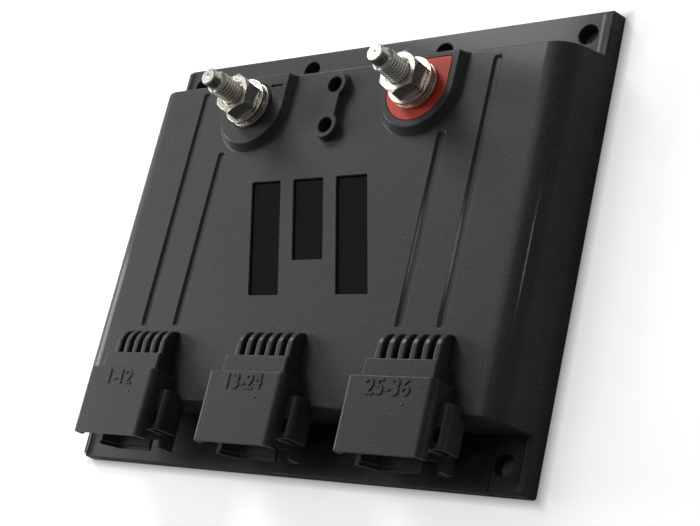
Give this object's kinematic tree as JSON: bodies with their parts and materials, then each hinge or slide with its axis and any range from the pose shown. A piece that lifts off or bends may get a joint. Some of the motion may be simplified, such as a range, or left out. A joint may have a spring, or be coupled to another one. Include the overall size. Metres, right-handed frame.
{
  "type": "power distribution module",
  "caption": "Flat flanged power distribution module with threaded stud terminals, sealed multi-way ports along one edge and smoked status windows.",
  "frame": {"origin": "centre of the flat back face", "axes": "+X across the width, +Y up the plate from the ports towards the terminals, +Z out of the front face"},
  "size_m": [0.1846, 0.151, 0.0447],
  "materials": {
    "black_moulding": "satin glass-filled nylon with a fine spark-eroded grain, polished a little along its edges",
    "red_insulator": "satin moulded red nylon",
    "plated_steel": "bright nickel-plated steel, slightly warm, with fine turning marks",
    "screw_steel": "zinc-plated screws",
    "contact_metal": "plated contact pins in a dark carrier",
    "copper_bar": "plain copper bar",
    "aluminium_plate": "mill-finished sheet with fine rolling lines",
    "seal_rubber": "black silicone",
    "smoked_lens": "glossy smoked acrylic",
    "light_diffuser": "milky diffuser",
    "board_laminate": "green solder resist on glass laminate",
    "thermal_pad": "soft filled silicone",
    "package_black": "moulded epoxy",
    "capacitor_can": "bare aluminium can"
  },
  "bodies": {
    "module": {"front_housing": "black_moulding", "back_plate": "aluminium_plate", "perimeter_seal": "seal_rubber", "circuit_board": "board_laminate", "thermal_pad": "thermal_pad", "back_plate_screw_1": "screw_steel", "back_plate_screw_2": "screw_steel", "back_plate_screw_3": "screw_steel", "back_plate_screw_4": "screw_steel", "back_plate_screw_5": "screw_steel", "back_plate_screw_6": "screw_steel", "back_plate_screw_7": "screw_steel", "back_plate_screw_8": "screw_steel", "board_screw_1": "screw_steel", "board_screw_2": "screw_steel", "board_screw_3": "screw_steel", "board_screw_4": "screw_steel", "negative_stud": "plated_steel", "negative_insulator": "black_moulding", "negative_bus_bar": "copper_bar", "negative_lower_washer": "plated_steel", "negative_spring_washer": "plated_steel", "positive_stud": "plated_steel", "positive_insulator": "red_insulator", "positive_bus_bar": "copper_bar", "positive_lower_washer": "plated_steel", "positive_spring_washer": "plated_steel", "port_1_shell": "black_moulding", "port_1_contacts": "contact_metal", "port_2_shell": "black_moulding", "port_2_contacts": "contact_metal", "port_3_shell": "black_moulding", "port_3_contacts": "contact_metal", "left_status_window": "smoked_lens", "left_light_strip": "light_diffuser", "centre_status_window": "smoked_lens", "centre_light_strip": "light_diffuser", "right_status_window": "smoked_lens", "right_light_strip": "light_diffuser", "power_transistor_1": "package_black", "power_transistor_2": "package_black", "power_transistor_3": "package_black", "power_transistor_4": "package_black", "power_transistor_5": "package_black", "power_transistor_6": "package_black", "capacitor_1": "capacitor_can", "capacitor_2": "capacitor_can", "capacitor_3": "capacitor_can", "capacitor_4": "capacitor_can", "processor": "package_black"},
    "positive_washer": {"positive_upper_washer": "plated_steel"},
    "positive_nut": {"positive_nut": "plated_steel"},
    "negative_washer": {"negative_upper_washer": "plated_steel"},
    "negative_nut": {"negative_nut": "plated_steel"}
  },
  "joints": [
    {"name": "positive_nut_turn", "type": "hinge", "parent": "positive_washer", "child": "positive_nut", "pos_m": [0.0353, 0.0469, 0.0293], "axis": [0, 0, 1], "range_deg": [0, 2160]},
    {"name": "positive_washer_lift", "type": "slide", "parent": "module", "child": "positive_washer", "axis": [0, 0, 1], "range_m": [0, 0.00751]},
    {"name": "negative_nut_turn", "type": "hinge", "parent": "negative_washer", "child": "negative_nut", "pos_m": [-0.0353, 0.0469, 0.0293], "axis": [0, 0, 1], "range_deg": [0, 2160]},
    {"name": "negative_washer_lift", "type": "slide", "parent": "module", "child": "negative_washer", "axis": [0, 0, 1], "range_m": [0, 0.00751]}
  ],
  "couplings": [
    {"joint": "positive_washer_lift", "follows": "positive_nut_turn", "m_per_rad": 0.00019894},
    {"joint": "negative_washer_lift", "follows": "negative_nut_turn", "m_per_rad": 0.00019894}
  ]
}
